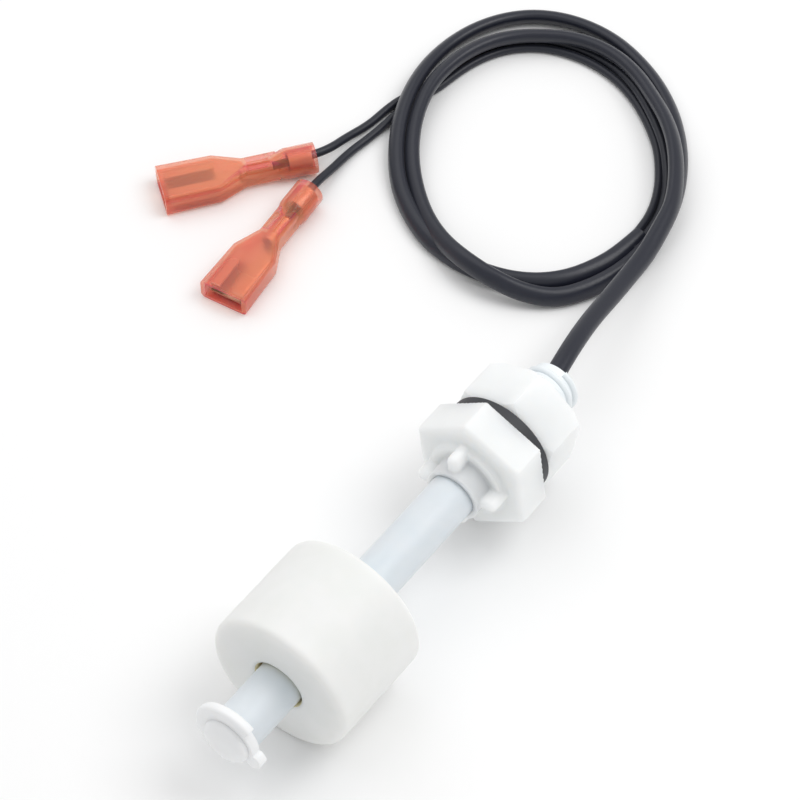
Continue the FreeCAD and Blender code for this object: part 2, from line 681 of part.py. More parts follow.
def cable_coil():
    """The outer shape of the coiled cable: a flat ring, with a second layer at one side."""
    layer = size("jacket_high")
    rims = [ellipse(size("coil_outer")), ellipse(size("coil_inner"))]
    face = Part.makeFace(rims, "Part::FaceMakerBullseye")
    lower = face.extrude(V(0, 0, layer))
    upper = face.extrude(V(0, 0, 2 * layer))
    start, end = (math.radians(angle) for angle in UPPER_LAYER)
    far = 3 * size("coil_long")
    wedge = Part.Face(Part.makePolygon([
        V(), V(far * math.cos(start), far * math.sin(start)),
        V(far * math.cos(end), far * math.sin(end)), V(),
    ])).extrude(V(0, 0, 2 * layer))
    item = subpart(doc.addObject("Part::Feature", "cable_coil"))
    item.Shape = lower.fuse(upper.common(wedge)).removeSplitter()
    item.Placement = FreeCAD.Placement(
        V(size("coil_x"), size("coil_y"), -size("float_radius")),
        FreeCAD.Rotation(V(0, 0, 1), size("coil_turn")),
    )


# Terminals

def terminal(name):
    """One insulated push-on terminal: housing, brass receptacle and brass grip sleeve."""
    for make in (terminal_housing, terminal_receptacle, terminal_grip):
        item = make(name)
        tip = FreeCAD.Rotation(V(0, 1, 0), math.degrees(math.atan2(
            size("barrel_radius") - size("mouth_thick") / 2, terminal_length())))
        yaw = FreeCAD.Rotation(V(0, 0, 1), size(f"end_{name}_turn"))
        item.Placement = FreeCAD.Placement(V(), yaw.multiply(tip))
        bind_place(item, f"end_{name}_x", f"end_{name}_y", "barrel_radius - float_radius")


def terminal_length():
    """The whole length of a terminal housing."""
    return sum(size(f"{part}_length") for part in ("barrel", "waist", "shoulder", "mouth"))


WAIST = "barrel_length + waist_length"
NECK = f"{WAIST} + shoulder_length"
MOUTH = f"{NECK} + mouth_length"


def both_sides(stations):
    """A closed outline that is symmetric about the terminal's axis."""
    return stations + [(along, f"-({half})") for along, half in reversed(stations)]


def terminal_housing(name):
    """The nylon housing: wide flat mouth, shoulders, crimped waist and round barrel."""
    body = new_body(f"terminal_{name}_housing")
    inset = "2 * housing_wall"
    plan = both_sides([
        ("barrel_length", "waist_width / 2"),
        (WAIST, "waist_width / 2"),
        (NECK, "neck_width / 2"),
        (MOUTH, "mouth_width / 2"),
    ])
    extrude(body, "Pad", outline(body, plan), "mouth_thick", symmetric=True)
    half = size("mouth_thick") / 2
    rounded(body, "mouth_round", lambda edge: abs(abs(edge.CenterOfMass.z) - half) < 1e-4
            and edge.BoundBox.XLength > 1e-3)
    turn(body, "Revolution", outline(body, [
        ("0", "0"),
        ("0", "barrel_radius"),
        ("barrel_length - waist_length / 4", "barrel_radius"),
        ("barrel_length + waist_length / 6", "waist_width / 2"),
        ("barrel_length + waist_length / 6", "0"),
    ]))
    dent_start = "barrel_length + (waist_length - dent_length) / 2 + waist_length / 12"
    for side in ("", "-"):
        middle = f"{side}dent_pitch / 2"
        dent = [(along, f"{middle} {sign} dent_width / 2") for along, sign in (
            (dent_start, "-"), (f"{dent_start} + dent_length", "-"),
            (f"{dent_start} + dent_length", "+"), (dent_start, "+"))]
        plan = outline(body, dent, "XY_Plane", "mouth_thick / 2")
        extrude(body, "Pocket", plan, "2 * dent_depth", symmetric=True)
    cavity = both_sides([
        (WAIST, "crimp_radius + strip_play"),
        (NECK, "neck_width / 2 - housing_wall"),
        (f"{MOUTH} + housing_wall", "neck_width / 2 - housing_wall"),
    ])
    extrude(body, "Pocket", outline(body, cavity), f"mouth_thick - {inset}", symmetric=True)
    turn(body, "Groove", outline(body, [
        ("-housing_wall", "0"),
        ("-housing_wall", "barrel_radius - funnel_wall"),
        ("barrel_length - waist_length / 4", "barrel_radius - funnel_wall"),
        ("barrel_length + waist_length / 6", "crimp_radius + strip_play"),
        (f"{WAIST} + housing_wall", "crimp_radius + strip_play"),
        (f"{WAIST} + housing_wall", "0"),
    ]))
    return body


def terminal_receptacle(name):
    """The brass receptacle: a strip rolled over both sides of the tab, and its barrel."""
    body = new_body(f"terminal_{name}_receptacle")
    side = "neck_width / 2 - housing_wall - strip_play"
    top = "mouth_thick / 2 - housing_wall - strip_play"
    inner_side = f"{side} - strip"
    inner_top = f"{top} - strip"
    lip = f"{side} - curl_width"
    section = outline(body, [
        (f"-({side})", f"-({top})"), (side, f"-({top})"), (side, top), (lip, top),
        (lip, inner_top), (inner_side, inner_top), (inner_side, f"-({inner_top})"),
        (f"-({inner_side})", f"-({inner_top})"), (f"-({inner_side})", inner_top),
        (f"-({lip})", inner_top), (f"-({lip})", top), (f"-({side})", top),
    ], "YZ_Plane", NECK)
    extrude(body, "Pad", section, "mouth_length - strip_recess")
    half_width = size("neck_width") / 2 - size("housing_wall") - size("strip_play")
    rounded(body, "2 * strip", lambda edge: edge.BoundBox.XLength > 1
            and abs(abs(edge.CenterOfMass.y) - half_width) < 1e-4)
    neck = both_sides([(f"{WAIST} + strip_play", "crimp_radius"), (NECK, f"{side} - 2 * strip")])
    extrude(body, "Pad", outline(body, neck, "XY_Plane", f"-({top})"), "strip")
    turn(body, "Revolution", outline(body, [
        ("barrel_length + waist_length / 6", "crimp_radius - strip"),
        ("barrel_length + waist_length / 6", "crimp_radius"),
        (f"{WAIST} + 2 * strip", "crimp_radius"),
        (f"{WAIST} + 2 * strip", "crimp_radius - strip"),
    ]))
    return body


def terminal_grip(name):
    """The brass sleeve that lines the housing's barrel and is crimped on the insulation."""
    outer = "barrel_radius - funnel_wall - grip_play"
    start = "grip_setback"
    end = "barrel_length - waist_length / 4 - grip_setback / 2"
    return turned(f"terminal_{name}_grip", [
        (start, f"{outer} - grip_wall"), (start, outer), (end, outer), (end, f"{outer} - grip_wall"),
    ])


def check(item):
    """Stop when an object failed or a sub-part has no sound shape."""
    failed = {"Invalid", "Error"} & set(item.State)
    if failed:
        raise RuntimeError(f"{item.Label}: {failed}")
    if item in subparts and (item.Shape.isNull() or not item.Shape.isValid()):
        raise RuntimeError(f"{item.Label}: no valid shape")


stem_tube()
retaining_clip()
float_pieces()
threaded_body()
gasket()
lock_nut()
reed_switch()
inner_wiring()
potting_plug()
tube("cable_jacket", JACKET_ROUTE, size("jacket_radius"))
cable_coil()
tube("core_a", CORE_A_ROUTE, size("core_radius"))
tube("core_b", CORE_B_ROUTE, size("core_radius"))
terminal("a")
terminal("b")

doc.recompute()
for item in doc.Objects:
    check(item)
os.makedirs("parts", exist_ok=True)
for item in subparts:
    item.Shape.exportStep(f"parts/{item.Label}.step")
    print(f"{item.Label}: {len(item.Shape.Solids)} solid, {item.Shape.Volume:.1f} mm3")
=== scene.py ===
# %% [markdown]
# # Float level switch
#
# A plastic float switch for the wall of a tank, seen lying on a white card. The packed
# solids give every size and place. This script dresses them: it gives each moulding its
# rounded edges and its plastic, cuts the fine thread, and lays the cable out as one supple
# cord with two cores and two push-on terminals.

# %% Load the frame
import bmesh
import bpy
import math
from mathutils import Matrix, Vector


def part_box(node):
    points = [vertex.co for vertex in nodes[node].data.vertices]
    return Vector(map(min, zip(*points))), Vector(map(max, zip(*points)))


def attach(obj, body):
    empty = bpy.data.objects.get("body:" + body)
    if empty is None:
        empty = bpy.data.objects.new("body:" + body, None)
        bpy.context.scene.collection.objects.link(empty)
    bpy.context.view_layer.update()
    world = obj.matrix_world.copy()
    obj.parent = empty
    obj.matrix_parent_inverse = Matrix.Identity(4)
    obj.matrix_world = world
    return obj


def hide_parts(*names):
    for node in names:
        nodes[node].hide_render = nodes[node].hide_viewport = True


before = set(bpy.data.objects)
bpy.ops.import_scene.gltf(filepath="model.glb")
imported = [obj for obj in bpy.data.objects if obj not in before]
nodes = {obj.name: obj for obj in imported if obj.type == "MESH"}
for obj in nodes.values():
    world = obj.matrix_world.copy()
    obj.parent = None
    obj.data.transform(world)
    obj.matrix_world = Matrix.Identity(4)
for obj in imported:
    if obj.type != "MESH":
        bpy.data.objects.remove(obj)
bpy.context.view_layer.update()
MM = 0.001

# %% [markdown]
# Sizes could be typed in again here, but then they would go wrong when the solids change.
# So the main ones are read from the boxes of the solids. The stem lies along the X axis,
# and the float touches the floor.

# %% Sizes that the solids give
stem_low, stem_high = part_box("stem_tube")
clip_low, clip_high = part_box("retaining_clip")
float_low, float_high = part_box("float_shell")
gasket_low, gasket_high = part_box("gasket")
_, body_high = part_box("threaded_body")
STEM_RADIUS = stem_high.y
FLOAT_RADIUS = float_high.z
FLOOR = -FLOAT_RADIUS
print("floor at", round(FLOOR / MM, 2), "mm")

# %% [markdown]
# The photograph looks down on the switch from its float end. The two ends are nearly the
# same size in it, which a long lens does, so the camera stands half a metre away.

# %% Camera
CAMERA_PLACE = Vector((-256.18, -171.59, 394.41)) * MM
CAMERA_TURN = (math.radians(38.91), 0.0, math.radians(-53.41))
LENS_MM = 140.77
SENSOR_MM = 36.0
FARTHEST = 10.0


def make_camera():
    """Make the camera and use it for the render."""
    data = bpy.data.cameras.new("camera")
    data.lens = LENS_MM
    data.sensor_width = SENSOR_MM
    data.clip_end = FARTHEST
    camera = bpy.data.objects.new("camera", data)
    camera.location = CAMERA_PLACE
    camera.rotation_euler = CAMERA_TURN
    bpy.context.scene.collection.objects.link(camera)
    bpy.context.scene.camera = camera


make_camera()
print("camera", round(CAMERA_PLACE.length / MM), "mm from the flange")

# %% [markdown]
# Every material below is built from nodes, so a few helpers come first. One turns a written
# colour into the linear one that the shaders need, one adds a node with its settings and
# links, and the rest put together what most surfaces here share: a Principled shader, a
# fine grain, and a slow drift of colour. The patterns read Object coordinates, so they keep
# their size in millimetres on every piece.

# %% Helpers for colours and nodes
GRAIN_DETAIL = 3.0
DRIFT_DETAIL = 2.0
DRIFT_BAND = (0.35, 0.65)


def colour(code):
    """An sRGB hex colour as a linear RGBA colour."""
    parts = [int(code[k:k + 2], 16) / 255 for k in (1, 3, 5)]
    linear = [p / 12.92 if p <= 0.04045 else ((p + 0.055) / 1.055) ** 2.4 for p in parts]
    return (*linear, 1.0)


def add(tree, kind, settings=None, inputs=None, links=None):
    """Add a node, set its settings and input values, and link outputs to its inputs."""
    node = tree.nodes.new(kind)
    for name, value in (settings or {}).items():
        setattr(node, name, value)
    for name, value in (inputs or {}).items():
        node.inputs[name].default_value = value
    for name, socket in (links or {}).items():
        tree.links.new(socket, node.inputs[name])
    return node


def surface(name, code, roughness, **inputs):
    """A material with a Principled surface, and its tree and shader for more nodes."""
    material = bpy.data.materials.new(name)
    material.use_nodes = True
    tree = material.node_tree
    shader = tree.nodes["Principled BSDF"]
    shader.inputs["Base Color"].default_value = colour(code)
    shader.inputs["Roughness"].default_value = roughness
    for socket, value in inputs.items():
        shader.inputs[socket.replace("_", " ")].default_value = value
    return material, tree, shader


def grain(tree, shader, size_mm, depth_mm, strength):
    """Bump of fine noise, with grains of a given size and depth."""
    place = add(tree, "ShaderNodeTexCoord")
    noise = add(tree, "ShaderNodeTexNoise",
                inputs={"Scale": 1 / (size_mm * MM), "Detail": GRAIN_DETAIL},
                links={"Vector": place.outputs["Object"]})
    bump = add(tree, "ShaderNodeBump", inputs={"Strength": strength, "Distance": depth_mm * MM},
               links={"Height": noise.outputs["Fac"]})
    tree.links.new(bump.outputs["Normal"], shader.inputs["Normal"])
    return place, noise


def blended(tree, shader, factor, stops):
    """Base colour that runs between two stops, each a position and a colour."""
    ramp = add(tree, "ShaderNodeValToRGB", links={"Fac": factor})
    for element, (position, code) in zip(ramp.color_ramp.elements, stops):
        element.position = position
        element.color = colour(code)
    tree.links.new(ramp.outputs["Color"], shader.inputs["Base Color"])


def drifting(tree, shader, place, first, second, size_mm):
    """A slow drift of the base colour between two colours."""
    noise = add(tree, "ShaderNodeTexNoise",
                inputs={"Scale": 1 / (size_mm * MM), "Detail": DRIFT_DETAIL},
                links={"Vector": place.outputs["Object"]})
    blended(tree, shader, noise.outputs["Fac"], zip(DRIFT_BAND, (first, second)))


# %% [markdown]
# The cable's jacket is soft PVC, pressed through a die: satin and nearly black. Real drag
# lines and dust are too fine to show at this size, so their noise is drawn a third of a
# millimetre wide, and it varies the roughness too. That breaks the highlight along the
# cable into the uneven shine of PVC. The cores inside are the same plastic.

# %% Cable plastics
DUST_MM = 0.35
DUST_DEPTH_MM = 0.012
DUST_BAND = (0.3, 0.7)
SMOOTHER, ROUGHER = -0.05, 0.08


def black_pvc(name, code, roughness):
    """Soft extruded PVC: satin black, with a faint uneven sheen."""
    material, tree, shader = surface(name, code, roughness, Specular_IOR_Level=0.45,
                                     Sheen_Weight=0.08)
    _, noise = grain(tree, shader, DUST_MM, DUST_DEPTH_MM, 0.5)
    shine = add(tree, "ShaderNodeMapRange", inputs={
        "From Min": DUST_BAND[0], "From Max": DUST_BAND[1],
        "To Min": roughness + SMOOTHER, "To Max": roughness + ROUGHER,
    }, links={"Value": noise.outputs["Fac"]})
    tree.links.new(shine.outputs["Result"], shader.inputs["Roughness"])
    return material


jacket_pvc = black_pvc("extruded_pvc_jacket", "#1B1E2B", 0.33)
core_pvc = black_pvc("extruded_pvc_core", "#1A1D29", 0.4)
print("cable plastics:", jacket_pvc.name, core_pvc.name)

# %% [markdown]
# The jacket is oval, because it holds two cores side by side. It leaves the stub lying
# flat and turns half up on its edge in the coil, so an oval profile is swept along the path
# and each point of the path carries a tilt. The coil's points could be typed one by one,
# but they are hard to correct by eye. Here a loop works them out from a few stations: the
# angle round the coil, the share of its ellipse, and the height of the cord's middle above
# the floor.

# %% Sizes of the cable and its coil
CORD_WIDE = 3.4 * MM
CORD_THIN = 2.55 * MM
CORE_DIAMETER = 1.54 * MM
CORE_REST = CORE_DIAMETER / 2
EDGE = 1.58 * MM
OVER_CORE = EDGE + CORE_DIAMETER
OVER_CORD = EDGE + CORD_WIDE
COIL_CENTRE = Vector((66.85, 37.37)) * MM
COIL_AXES = (32.05 * MM, 24.13 * MM)
COIL_TURN = math.radians(34.73)
EXIT_ROUTE = (
    (13.2, 0.0, 0.0), (20.4, 1.35, 0.1), (27.5, 2.9, -1.0), (34.5, 4.3, -2.8),
    (41.5, 5.2, -4.6), (48.4, 6.2, -6.3), (55.1, 7.0, -7.4), (61.6, 8.3, -7.6),
)
JACKET_STATIONS = (
    (-116, 1.07, OVER_CORD), (-94, 0.993, OVER_CORD), (-64, 0.925, OVER_CORD * 0.75),
    (-40, 0.928, OVER_CORE), (0, 0.872, OVER_CORE), (40, 0.915, OVER_CORE),
    (60, 0.943, OVER_CORE), (80, 0.945, OVER_CORE * 0.9), (110, 0.95, EDGE),
    (132, 0.985, EDGE * 1.5), (146, 1.028, OVER_CORD * 0.88), (158, 1.052, OVER_CORD * 0.88),
    (172, 1.066, EDGE * 1.7), (186, 1.076, EDGE), (207, 1.052, EDGE), (232, 1.045, EDGE),
    (283, 1.043, EDGE), (310, 1.044, EDGE), (334, 1.066, EDGE), (366, 1.086, EDGE),
    (405, 1.07, EDGE * 1.3), (422, 1.054, OVER_CORE), (441, 1.058, OVER_CORE * 0.9),
    (463, 1.065, EDGE), (488, 1.042, EDGE), (507, 1.0, EDGE), (521, 0.972, EDGE),
    (543, 0.958, EDGE), (565, 0.94, EDGE), (579, 0.944, EDGE), (591, 0.953, EDGE),
)
JACKET_STEPS = 56
print("coil", [round(2 * axis / MM, 1) for axis in COIL_AXES], "mm at the middle of its turns")

# %% Points on the coil


def along(stations, angle):
    """Share and height at one angle, half eased between the two stations beside it."""
    for (a0, s0, h0), (a1, s1, h1) in zip(stations, stations[1:]):
        if a0 <= angle <= a1:
            part = (angle - a0) / (a1 - a0)
            eased = part * part * (3 - 2 * part)
            part = (part + eased) / 2
            return s0 + (s1 - s0) * part, h0 + (h1 - h0) * part
    return stations[-1][1:]


def on_coil(angle, share, height):
    """A place on the coil's ellipse, at a share of its size and a height over the floor."""
    turn = math.radians(angle)
    flat = Vector((COIL_AXES[0] * math.cos(turn), COIL_AXES[1] * math.sin(turn))) * share
    flat.rotate(Matrix.Rotation(COIL_TURN, 2))
    return Vector((COIL_CENTRE.x + flat.x, COIL_CENTRE.y + flat.y, FLOOR + height))


def coil_turns(stations, steps):
    """Evenly spaced points from the first station to the last."""
    first, last = stations[0][0], stations[-1][0]
    angles = [first + (last - first) * k / steps for k in range(steps + 1)]
    return [on_coil(angle, *along(stations, angle)) for angle in angles]


exit_points = [Vector(p) * MM for p in EXIT_ROUTE]
turn_points = coil_turns(JACKET_STATIONS, JACKET_STEPS)
jacket_points = exit_points + turn_points
print("jacket's points", len(jacket_points))

# %% [markdown]
# A real cable bends in smooth curves, so each cord is one NURBS spline: its points pull the
# line towards them and it never kinks. The profile is swept by the curve itself, which
# keeps the piece a curve whose length can be measured.

# %% Cords from points
CURVE_STEPS = 6
CURVE_ORDER = 3
OVAL_SIDES = 28


def cord_curve(name, points, tilts, profile, material):
    """One smooth NURBS cord through control points, with its profile turned at each one."""
    data = bpy.data.curves.new(name, "CURVE")
    data.dimensions = "3D"
    data.twist_mode = "Z_UP"
    data.resolution_u = CURVE_STEPS
    data.use_fill_caps = True
    spline = data.splines.new("NURBS")
    spline.points.add(len(points) - 1)
    for item, point, tilt in zip(spline.points, points, tilts):
        item.co = (*point, 1.0)
        item.tilt = tilt
    spline.order_u = CURVE_ORDER
    spline.use_endpoint_u = True
    spline.use_smooth = True
    if isinstance(profile, float):
        data.bevel_depth = profile
        data.bevel_resolution = CURVE_STEPS
    else:
        data.bevel_mode = "OBJECT"
        data.bevel_object = profile
    data.materials.append(material)
    cord = bpy.data.objects.new(name, data)
    bpy.context.scene.collection.objects.link(cord)
    return cord


def oval_profile(name, wide, thin):
    """A closed oval outline that the jacket is swept with, hidden from the render."""
    data = bpy.data.curves.new(name, "CURVE")
    spline = data.splines.new("POLY")
    spline.points.add(OVAL_SIDES - 1)
    for k, point in enumerate(spline.points):
        turn = math.tau * k / OVAL_SIDES
        point.co = (thin / 2 * math.cos(turn), wide / 2 * math.sin(turn), 0, 1)
    spline.use_cyclic_u = True
    shape = bpy.data.objects.new(name, data)
    bpy.context.scene.collection.objects.link(shape)
    shape.hide_render = True
    return shape


def spline_length(cord):
    """Length of a cord's centre line in metres."""
    bare = cord.data.copy()
    bare.bevel_mode = "ROUND"
    bare.bevel_object = None
    bare.bevel_depth = 0
    probe = bpy.data.objects.new("probe", bare)
    line = bpy.data.meshes.new_from_object(probe)
    places = [vertex.co for vertex in line.vertices]
    total = sum((places[edge.vertices[0]] - places[edge.vertices[1]]).length
                for edge in line.edges)
    bpy.data.objects.remove(probe)
    bpy.data.meshes.remove(line)
    bpy.data.curves.remove(bare)
    return total


# %% [markdown]
# The tilts say how the oval lies. At the stub its wide side is level. From there it turns
# until it leans inwards in the coil, where each turn rests against the next, and it lies
# down a little more at its end.

# %% The jacket
FLAT, LEANING, END_LEANING = (math.radians(a) for a in (-90, -38, -58))
EXIT_TWIST = (3, 6)
END_TWIST = (46, 10)


def twisting(count, first, last, twist):
    """Tilts for some points: the first one as far as a point, then evenly on to the last."""
    start, length = twist
    return [first + (last - first) * max(0, k - start) / length for k in range(count)]


jacket_tilts = twisting(len(exit_points), FLAT, LEANING, EXIT_TWIST)
jacket_tilts += twisting(len(turn_points), LEANING, END_LEANING, END_TWIST)
jacket_section = oval_profile("jacket_section", CORD_WIDE, CORD_THIN)
jacket = cord_curve("cable_jacket_cord", jacket_points, jacket_tilts, jacket_section, jacket_pvc)
JACKET_LENGTH = spline_length(jacket)
print("jacket", round(JACKET_LENGTH / MM), "mm")

# %% [markdown]
# Past the end of the jacket the two cores run along the inside of the coil. They lie side
# by side, climb onto each other for part of a turn, pass under the jacket and go to a
# terminal each. Both follow one list of stations, each a little to its own side. Near the
# terminals their points are the ones that the solids use.

# %% The two cores
PAIR_GAP = 0.031
STACK_FIRST, STACK_LAST = 610, 690
STACK_LEAN = math.radians(60)
CORE_STATIONS = (
    (584, 0.948, EDGE), (594, 0.946, EDGE * 0.8), (603, 0.945, CORE_REST),
    (613, 0.938, CORE_REST), (621, 0.92, CORE_REST), (633, 0.9, CORE_REST),
    (651, 0.862, CORE_REST), (665, 0.86, CORE_REST), (690, 0.864, CORE_REST),
    (705, 0.866, CORE_REST), (722, 0.88, CORE_REST), (737, 0.893, CORE_REST),
    (749, 0.9, CORE_REST), (763, 0.912, CORE_REST), (775, 0.935, CORE_REST),
    (782, 0.985, CORE_REST), (788, 1.08, CORE_REST),
)
CORE_STEPS = 20
CORE_A_FREE = (
    (60.4, 66.0, -11.9), (54.8, 66.2, -11.85), (49.4, 67.2, -11.2),
    (43.98, 67.36, -10.0), (38.92, 70.32, -9.98), (34.51, 73.28, -10.12),
)
CORE_B_FREE = (
    (58.6, 63.9, -11.9), (52.9, 64.2, -11.93), (47.4, 64.9, -11.8), (41.9, 64.6, -11.2),
    (36.61, 64.25, -10.1), (30.86, 63.6, -9.98), (25.6, 62.91, -10.12),
)


def core_path(free, side):
    """Points of one core: beside or on its partner round the coil, then its free stretch."""
    beside = []
    for angle, share, height in CORE_STATIONS:
        part = min(max((angle - STACK_FIRST) / (STACK_LAST - STACK_FIRST), 0), 1)
        lean = STACK_LEAN * math.sin(math.pi * part)
        lift = CORE_DIAMETER * math.sin(lean) if side > 0 else 0
        beside.append((angle, share + side * PAIR_GAP * math.cos(lean), height + lift))
    return coil_turns(beside, CORE_STEPS) + [Vector(p) * MM for p in free]


def core_cord(name, points):
    """One round core along its points."""
    return cord_curve(name, points, [0.0] * len(points), CORE_REST, core_pvc)


core_a_points = core_path(CORE_A_FREE, 1)
core_b_points = core_path(CORE_B_FREE, -1)
core_a = core_cord("core_a_cord", core_a_points)
core_b = core_cord("core_b_cord", core_b_points)
print("cores", round(spline_length(core_a) / MM), round(spline_length(core_b) / MM), "mm")

# %% [markdown]
# A plain white floor and even light: the sky lights everything from all round, a soft lamp
# high on the right draws the faint shadows to the left, and a second one fills the other
# side. The lamps are low enough that the white plastic keeps its shading.

# %% Floor and light
FLOOR_REACH = 1.5
LAMP_AIM = Vector((0.01, 0.02, 0.0))


def make_floor():
    """A wide white floor of matt card under the switch."""
    near, far = -FLOOR_REACH, FLOOR_REACH
    corners = [(near, near, FLOOR), (far, near, FLOOR), (far, far, FLOOR), (near, far, FLOOR)]
    mesh = bpy.data.meshes.new("floor")
    mesh.from_pydata(corners, [], [(0, 1, 2, 3)])
    floor = bpy.data.objects.new("floor", mesh)
    bpy.context.scene.collection.objects.link(floor)
    card, _, _ = surface("white_card", "#F9F9F9", 0.9, Specular_IOR_Level=0.0)
    mesh.materials.append(card)


def make_lamp(name, place, power, size):
    """A square soft lamp that points at the middle of the switch."""
    data = bpy.data.lights.new(name, "AREA")
    data.energy = power
    data.size = size
    lamp = bpy.data.objects.new(name, data)
    lamp.location = place
    lamp.rotation_euler = (LAMP_AIM - lamp.location).to_track_quat("-Z", "Y").to_euler()
    bpy.context.scene.collection.objects.link(lamp)


def make_sky(strength):
    """Even white light from all round."""
    world = bpy.data.worlds.new("studio")
    world.use_nodes = True
    background = world.node_tree.nodes["Background"]
    background.inputs["Color"].default_value = (1, 1, 1, 1)
    background.inputs["Strength"].default_value = strength
    bpy.context.scene.world = world


make_floor()
make_sky(0.64)
make_lamp("key_lamp", Vector((0.32, -0.3, 0.7)), 2.5, 0.5)
make_lamp("fill_lamp", Vector((0.15, 0.45, 0.8)), 2.2, 0.9)
bpy.context.scene.view_settings.view_transform = "Standard"
print("lamps", [lamp.name for lamp in bpy.data.lights])

# %% [markdown]
# Polypropylene is milky. Thick mouldings such as the flange, the nut and the float look
# white, and the thin stem lets light through and looks faintly blue. Light that sinks under
# the surface gives them their soft edges, so the shaders use subsurface scattering. The
# stub has none, because the ridge of the thread lies in its surface, and scattering turns
# dark where two pieces overlap. The mould's own texture is too fine to show, so the grain
# is drawn half a millimetre wide, and it softens the highlights.

# %% Moulded polypropylene
PP_GRAIN_MM = 0.5
PP_GRAIN_DEPTH_MM = 0.006
PP_DRIFT_MM = 7.0


def polypropylene(name, code, other, roughness, scatter_mm, weight):
    """Moulded polypropylene: milky, with a faint drift of colour and a fine mould texture."""
    material, tree, shader = surface(name, code, roughness, IOR=1.49, Subsurface_Weight=weight)
    shader.inputs["Subsurface Radius"].default_value = (1.0, 0.95, 0.9)
    shader.inputs["Subsurface Scale"].default_value = scatter_mm * MM
    place, _ = grain(tree, shader, PP_GRAIN_MM, PP_GRAIN_DEPTH_MM, 0.5)
    drifting(tree, shader, place, code, other, PP_DRIFT_MM)
    return material


# Thick walls: white and even. The float is a little warmer than the flange and the nut.
white_pp = polypropylene("moulded_white_polypropylene", "#F0F2F2", "#EDEFEF", 0.5, 4.0, 1.0)
float_pp = polypropylene("moulded_float_polypropylene", "#F1F1EF", "#EDEEEB", 0.5, 2.4, 0.6)
# The float's bore is painted a pale warm yellow: a painted glint, for the light that shines in
# through the gap round the stem.
bore_glint_pp = polypropylene("float_bore_painted_glint", "#F0E4BC", "#E8D9A8", 0.45, 1.5, 0.5)
# Thin walls: cool and slightly bluish, and smoother.
clear_pp = polypropylene("moulded_natural_polypropylene", "#DAE3EA", "#DFE6EC", 0.42, 3.5, 0.8)
stub_pp = polypropylene("moulded_bluish_polypropylene", "#F4F8FA", "#F0F5F8", 0.45, 1.0, 0.0)
# The clip is acetal, which is denser: less light sinks in.
clip_pp = polypropylene("moulded_clip_acetal", "#F4F5F6", "#F1F2F3", 0.42, 1.2, 0.3)
print("white plastics", sum("moulded" in m.name for m in bpy.data.materials))

# %% [markdown]
# The gasket is nitrile rubber, cut from pressed sheet: dark grey, dull, with a slight
# grain. The inner parts are hidden when the switch is whole, and each one still gets its
# own finish: sintered ferrite, drawn glass, plated and tinned metals, and cast resin.

# %% Rubber, metals, glass and resin


def grained(name, code, roughness, size_mm, depth_mm, strength, **inputs):
    """A plain surface with a fine grain."""
    material, tree, shader = surface(name, code, roughness, **inputs)
    grain(tree, shader, size_mm, depth_mm, strength)
    return material


# Dull and dark, with the grain of pressed sheet.
nitrile_rubber = grained("pressed_nitrile_rubber", "#35363A", 0.55, 0.4, 0.02, 0.6)
# Pale warm metal: tin over brass, with the uneven shine of a stamping.
tinned_brass = grained("stamped_tinned_brass", "#D9D0C0", 0.42, 0.3, 0.01, 0.4, Metallic=1.0)
plated_nickel = grained("plated_nickel_iron", "#B9B8B4", 0.35, 0.2, 0.01, 0.4, Metallic=1.0)
# Charcoal grey and dull.
ferrite = grained("sintered_ferrite", "#3A3A3D", 0.6, 0.3, 0.02, 0.6)
# Thin and faintly green.
green_glass, _, _ = surface("drawn_green_glass", "#C9E6D8", 0.03, Transmission_Weight=0.9,
                            IOR=1.5)
cast_resin = black_pvc("cast_epoxy_resin", "#26282B", 0.25)

NODE_FINISHES = (
    (float_pp, "float_cap"),
    (ferrite, "ring_magnet"),
    (green_glass, "reed_glass"),
    (plated_nickel, "reed_blade_front", "reed_blade_rear"),
    (core_pvc, "lead_wire_front", "lead_wire_rear"),
    (cast_resin, "shrink_sleeve_front", "shrink_sleeve_rear", "potting_plug"),
    (tinned_brass, "terminal_a_receptacle", "terminal_b_receptacle",
     "terminal_a_grip", "terminal_b_grip"),
)
for finish, *names in NODE_FINISHES:
    for name in names:
        nodes[name].data.materials.clear()
        nodes[name].data.materials.append(finish)
print("solids kept with a finish of their own", sum(len(row) - 1 for row in NODE_FINISHES))

# %% [markdown]
# The stem, the float and the gasket are round. Each could be a cylinder with bevels, but a
# profile spun about the X axis gives every corner its own rounding. A rounded corner is a
# short arc, and it catches a soft line of light as the edge of a moulding does.

# %% Helpers for spun pieces
SPIN_SIDES = 160
ARC_STEPS = 6
ARC_SHARE = 0.49
WELD = 1e-6
SMOOTH_ANGLE = math.radians(35)


def arc_corner(before, corner, after, radius):
    """Points that round one corner of a profile."""
    before, corner, after = Vector(before), Vector(corner), Vector(after)
    way_in, way_out = corner - before, after - corner
    half = way_in.angle(way_out) / 2
    reach = min(radius * math.tan(half), way_in.length * ARC_SHARE, way_out.length * ARC_SHARE)
    start = corner - way_in.normalized() * reach
    end = corner + way_out.normalized() * reach
    steps = [k / ARC_STEPS for k in range(ARC_STEPS + 1)]
    return [start * (1 - t) ** 2 + corner * 2 * t * (1 - t) + end * t ** 2 for t in steps]


def rounded_profile(corners):
    """A closed profile from corners (x, radius from the axis, rounding), in metres."""
    points = []
    for k, (x, r, rounding) in enumerate(corners):
        if rounding > 0:
            after = corners[(k + 1) % len(corners)]
            points += arc_corner(corners[k - 1][:2], (x, r), after[:2], rounding)
        else:
            points.append(Vector((x, r)))
    return points


